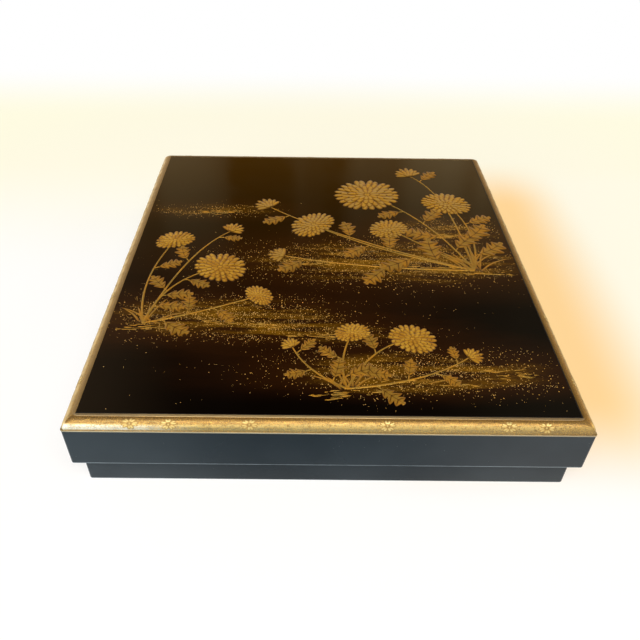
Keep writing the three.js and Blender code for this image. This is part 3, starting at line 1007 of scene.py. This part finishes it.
def stem(made, spine, leaves, size, draw, taken):  # taken: what to keep clear of, as middle and reach
    last = len(spine) - 1
    stalks, width = foliage["stalk"], foliage["stem"]["width"]
    widths = [width * (1 - 0.4 * step / last) for step in range(last + 1)]
    blade(made, spine, widths, foliage["stem"]["height"])
    for number in range(leaves):
        part = foliage["places"][0] + foliage["places"][1] * number / max(1, leaves - 1)
        index = round(part * last)
        (x, y), (nextX, nextY) = spine[index], spine[index + 1]
        side = 1 if number % 2 else -1
        turn = side * foliage["turn"] * draw.uniform(0.8, 1.25)
        heading = degrees(atan2(nextY - y, nextX - x)) + turn
        stalk = curve((x, y), heading, stalks["length"], side * 14, 4)
        length = size * (1.12 - 0.4 * part) * draw.uniform(0.9, 1.1)
        middle = moved(stalk[-1], radians(heading), 0.5 * length)
        crowded = any(dist(middle, place) < reach for place, reach in taken)
        if crowded or not onPanel(*middle, 0.5 * length):
            continue
        taken.append((middle, 0.6 * length))
        blade(made, stalk, [stalks["width"]] * len(stalk), stalks["height"])
        leaf(made, stalk[-1], heading + side * 10, length, draw)


budRows = [  # petals' directions in degrees, then lengths and widths as shares of the bud
    {"spread": (-62, -44, -27, -9, 9, 27, 44, 62), "width": 0.125, "bend": 0.35, "level": 0.05,
     "length": lambda spread: 1 - abs(spread) / 230, "shape": petalShape},
    {"spread": (-34, -11, 11, 34), "width": 0.115, "bend": 0.3, "level": 0.2,
     "length": lambda spread: 0.72, "shape": petalShape},
    {"spread": (-50, 0, 50), "width": 0.11, "bend": -0.5, "level": 0.36,
     "length": lambda spread: 0.34, "shape": lobeShape},
]


def bud(made, at, heading, size):  # a flower half open, seen from the side
    for row in budRows:
        for spread in row["spread"]:
            length, width = size * row["length"](spread), size * row["width"]
            bend = spread * row["bend"]
            petal(made, at, heading + spread, length, width, bend, 0.2, row["level"], row["shape"])


tuft = {"reach": (5, 1.5), "lean": 34, "bend": 52, "width": 0.62, "height": 0.16}  # lean and bend in degrees


def grass(made, root, count, length, draw):
    for index in range(count):
        lean = draw.uniform(-1, 1)
        start = tuple(middle + draw.uniform(-reach, reach) for middle, reach in zip(root, tuft["reach"]))
        heading, bend = 90 - lean * tuft["lean"], -lean * tuft["bend"]
        tall = length * draw.uniform(0.45, 1.0)
        if onPanel(*curve(start, heading, tall, bend, 8)[-1], 1.0):
            petal(made, start, heading, tall, tuft["width"], bend, tuft["height"], 0.0, bladeShape)


sprays = {
    "large": {
        "root": (80, -14),
        "gold": "paleBlossom",
        "grass": (16, 40),  # blades and their length
        "leafSize": 19,
        "flowers": [  # where the stem leans, flower's place, radius, squash, lean, openness, leaves
            ((64, 40), (28, 66), 21, 0.94, 105, 0.94, 5),
            ((92, 26), (76, 56), 16, 0.84, 70, 0.88, 4),
            ((30, 2), (-6, 30), 15, 0.80, 140, 0.84, 6),
            ((52, 14), (38, 26), 12, 0.86, 110, 0.86, 3),
        ],
        "buds": [  # where the stem leans, bud's place, size, heading, leaves
            ((80, 70), (58, 92), 13, 108, 3),
            ((10, 14), (-32, 50), 12, 128, 4),
            ((20, -14), (-22, -2), 10, 165, 4),
        ],
    },
    "middle": {
        "root": (-88, -60),
        "gold": "blossom",
        "grass": (9, 26),
        "leafSize": 14,
        "flowers": [
            ((-84, -24), (-56, -14), 15, 0.88, 60, 0.90, 4),
            ((-98, -26), (-84, 12), 11.5, 0.80, 110, 0.80, 4),
            ((-66, -54), (-34, -38), 9, 0.78, 35, 0.78, 4),
        ],
        "buds": [((-76, 2), (-54, 22), 10, 58, 3)],
    },
    "small": {
        "root": (8, -102),
        "gold": "blossom",
        "grass": (8, 18),
        "leafSize": 12,
        "flowers": [
            ((20, -74), (40, -70), 12, 0.86, 60, 0.88, 3),
            ((4, -84), (12, -66), 9, 0.80, 105, 0.80, 3),
        ],
        "buds": [((44, -98), (64, -82), 8, 30, 4), ((-10, -92), (-16, -76), 7, 120, 3)],
    },
}


def addPicture():
    for number, (name, spray) in enumerate(sprays.items()):
        draw = random.Random(11 + number)
        heads, greens = Relief(), Relief()
        taken = [(place, 0.95 * radius) for by, place, radius, *look in spray["flowers"]]
        taken += [(place, 0.5 * size) for by, place, size, *look in spray["buds"]]
        grass(greens, spray["root"], *spray["grass"], draw)
        for by, place, *look, leaves in spray["flowers"] + spray["buds"]:
            stem(greens, bow(spray["root"], by, place), leaves, spray["leafSize"], draw, taken)
        for by, place, radius, squash, lean, openness, leaves in spray["flowers"]:
            chrysanthemum(heads, place, radius, draw, squash, lean, openness)
        for by, place, size, heading, leaves in spray["buds"]:
            bud(heads, place, heading, size)
        heads.gild(f"picture_{name}_blossoms", spray["gold"])
        greens.gild(f"picture_{name}_leaves", "leaf")
    print("picture made")


flecks = {"count": 21000, "small": 0.11, "large": 0.34, "height": 0.06, "margin": 2.0, "stray": 260}
ground = {
    "patches": [  # middle, and half the length
        {"at": (84, -17), "half": 16}, {"at": (50, -11), "half": 20}, {"at": (-8, -8), "half": 14},
        {"at": (-84, -62.5), "half": 17}, {"at": (-40, -60), "half": 19}, {"at": (-4, -68), "half": 15},
        {"at": (8, -105), "half": 15}, {"at": (44, -98), "half": 20}, {"at": (80, -92), "half": 12},
        {"at": (72, 20), "half": 12}, {"at": (-62, 44), "half": 13},
    ],
    "strokes": 26,  # in each patch
    "length": (1.6, 6.0),
    "depth": 1.15,
    "slope": 2.2,  # how far a patch may rise or fall towards its ends
    "width": 0.20,
    "height": 0.09,
}


def sprinkle(draw, spread):  # a place for one fleck, thickest in the middle of a patch
    weights = [patch["reach"][0] * patch["reach"][1] * patch["strength"] for patch in mist["patches"]]
    patch = draw.choices(mist["patches"], weights)[0]
    x = patch["at"][0] + draw.gauss(0, spread) * patch["reach"][0]
    return x, patch["at"][1] + draw.gauss(0, spread) * patch["reach"][1]


def clumped(x, y):  # from 0 to 1, in long thin layers
    layer = noise.noise(Vector((x / 34, y / 3.4, 0)))
    knot = noise.noise(Vector((x / 5, y / 2.2, 4)))
    return min(1.0, max(0.0, 0.34 + 1.5 * layer + 0.7 * knot))


def addFlecks():
    draw = random.Random(5)
    reachX, reachY = box["panel"]
    made = Relief()
    for index in range(flecks["count"]):
        x, y = sprinkle(draw, 0.56)
        if draw.random() > clumped(x, y):
            continue
        if index < flecks["stray"]:
            x, y = draw.uniform(-reachX, reachX), draw.uniform(-reachY, 0.3 * reachY)
        if not onPanel(x, y, flecks["margin"]):
            continue
        size = flecks["small"] + (flecks["large"] - flecks["small"]) * draw.random() ** 2.2
        turn = draw.uniform(0, tau)
        corners = []
        for step in range(4):
            corner = moved((x, y), turn + tau * step / 4, size * draw.uniform(0.7, 1.1))
            corners.append(ontoPanel(*corner, -0.02))
        points = [ontoPanel(x, y, flecks["height"]), *corners]
        made.add(points, [[0, 1, 2], [0, 2, 3], [0, 3, 4], [0, 4, 1], [1, 4, 3, 2]])
    made.gild("sprinkled_flecks", "fleck", 20)
    print("flecks made")


def addGround():  # short strokes lying close together
    draw = random.Random(9)
    made = Relief()
    for patch in ground["patches"]:
        slope = draw.uniform(-1, 1)
        for index in range(ground["strokes"]):
            away = draw.uniform(-1, 1)
            length = draw.uniform(*ground["length"]) * (1.2 - 0.5 * abs(away))
            x = patch["at"][0] + away * patch["half"] - length / 2
            y = patch["at"][1] + draw.gauss(0, ground["depth"]) * (1.1 - 0.4 * abs(away))
            y += ground["slope"] * away * slope
            if onPanel(x, y, 1.5) and onPanel(x + length, y, 1.5):
                spine = curve((x, y), draw.uniform(-5, 5), length, draw.uniform(-14, 14), 8)
                width = ground["width"] * draw.uniform(0.5, 1.3)
                blade(made, spine, [width * part for part in bladeShape], ground["height"])
    made.gild("ground_strokes", "leaf")
    print("ground made")


# Blossoms and scrolls on the rim

ornament = {
    "blossoms": {  # places along each side, from its middle
        "front": (-81.3, -65.5, -32.6, 23.7, 73.4, 88.6),
        "right": (-96, -52, -10, 34, 78),
        "back": (-84, -40, 8, 52, 92),
        "left": (-90, -46, 2, 38, 98),
    },
    "middle": 3.3,  # down the round
    "petal": 2.2,
    "stretch": 1.45,  # how much wider than high a blossom is
    "disc": {"radius": 0.98, "height": 0.03},  # these radii, lengths and widths are shares of the petal's
    "lobe": {"foot": 0.22, "length": 0.9, "width": 0.27, "height": 0.08, "level": 0.02, "apart": 14},
    "lobeShape": [0.45, 0.75, 1.0, 1.0, 0.8, 0.4],
    "heart": {"radius": 0.15, "height": 0.10},
    "vineSwing": 1.25,
    "vineWave": 17.0,
    "vineStep": 1.2,  # length of its straight parts; below, turn and curl are in degrees
    "vine": {"width": 0.10, "height": 0.05},
    "scroll": {"size": 3.4, "turn": 50, "curl": 420, "width": (0.12, 0.05), "height": 0.05},
    "clearOfBlossom": 3.3,
    "clearOfCorner": 11.0,
}


def rimBlossom(made, s, t, size, onto, turn):  # five notched petals, each of two lobes
    disc, lobe, heart = ornament["disc"], ornament["lobe"], ornament["heart"]

    def wide(along, down, rise):
        return onto(s + (along - s) * ornament["stretch"], down, rise)

    bead(made, s, t, size * disc["radius"], disc["height"], 0.0, 20, 1.0, wide)
    for index in range(10):
        heading = turn + 72 * (index // 2) + (lobe["apart"] if index % 2 else -lobe["apart"])
        start = moved((s, t), radians(heading), size * lobe["foot"])
        petal(made, start, heading, size * lobe["length"], size * lobe["width"], 0,
              lobe["height"], lobe["level"], ornament["lobeShape"], wide)
    bead(made, s, t, size * heart["radius"], heart["height"], onto=wide)


def rimScroll(made, s, t, size, onto, heading, side):  # a tendril that curls up on itself
    scroll = ornament["scroll"]
    spine = [(s, t)]
    steps = 16
    for step in range(steps):
        part = step / steps
        angle = radians(heading + side * scroll["curl"] * part ** 1.3)
        spine.append(moved(spine[-1], angle, size / steps * (1.25 - part) * 1.6))
    foot, narrower = scroll["width"]
    widths = [foot - narrower * step / steps for step in range(steps + 1)]
    blade(made, spine, widths, scroll["height"], onto=onto)


def vineAt(s):
    return ornament["middle"] + ornament["vineSwing"] * sin(tau * s / ornament["vineWave"])


def addRimOrnament():
    vine, scroll = ornament["vine"], ornament["scroll"]
    for number, side in enumerate(sides):
        draw = random.Random(31 + number)
        onto = ontoRim(side)
        reach = (box["lip"][0] if sides[side]["long"] == "x" else box["lip"][1]) - ornament["clearOfCorner"]
        flowers, made = Relief(), Relief()
        places = ornament["blossoms"][side]
        for place in places:
            t = ornament["middle"] + draw.uniform(-0.25, 0.25)
            rimBlossom(flowers, place, t, ornament["petal"], onto, draw.uniform(0, 72))
        clear = ornament["clearOfBlossom"]
        starts = [-reach] + [place + clear for place in places]
        ends = [place - clear for place in places] + [reach]
        for start, end in zip(starts, ends):
            steps = int((end - start) / ornament["vineStep"])
            if steps > 1:
                run = [start + (end - start) * step / steps for step in range(steps + 1)]
                widths = [vine["width"]] * len(run)
                blade(made, [(s, vineAt(s)) for s in run], widths, vine["height"], onto=onto)
        half = ornament["vineWave"] / 2
        for index in range(int(2 * reach / half)):
            s = -reach + (index + 0.5) * half
            if min(abs(s - place) for place in places) < 2 * clear:
                continue
            above = 1 if vineAt(s) > ornament["middle"] else -1
            rimScroll(made, s, vineAt(s), scroll["size"], onto, -above * scroll["turn"], -above)
            start = (s + 1.6, vineAt(s))
            petal(made, start, -above * 120, 1.3, 0.42, above * 30, 0.1, 0.0, lobeShape, onto)
        flowers.gild(f"rim_blossoms_{side}", "rimFlower")
        made.gild(f"rim_scrolls_{side}", "rimScroll")
    print("rim ornament made")


# Fittings inside

def addFittings():
    for side in ("left", "right", "front", "back"):
        softened("base_ledge_" + side, "speckled", "base", 0.3)
    softened("inner_board", "speckled", "inner_board", 0.35)
    softened("inkstone_surround", "surround", "inner_board", 0.5)
    softened("dropper_surround", "surround", "inner_board", 0.5)
    softened("inkstone", "slate", "inkstone", 0.8)
    softened("dropper_body", "copper", "water_dropper", 0.4)
    softened("dropper_top", "copper", "water_dropper", 0.25)
    softened("tray_floor", "speckled", "brush_tray", 0.3)
    for part in ("wall_left", "wall_right", "wall_front", "wall_back", "brush_rest"):
        softened("tray_" + part, "tray", "brush_tray", 0.5)
    print("fittings made")


def dressNodes():  # nodes that stay as they are
    given = {"lid_top_board": "panel", "base_floor_board": "baseSide"}
    for name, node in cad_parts.items():
        if "_key_" in name or "_peg_" in name:
            given[name] = "wood"
    for name, finish in given.items():
        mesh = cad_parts[name].data
        mesh.materials.clear()
        mesh.materials.append(finishes[finish])


addCamera()
addStudio()
dressNodes()
addBoxShell()
addPicture()
addFlecks()
addGround()
addRimOrnament()
addFittings()
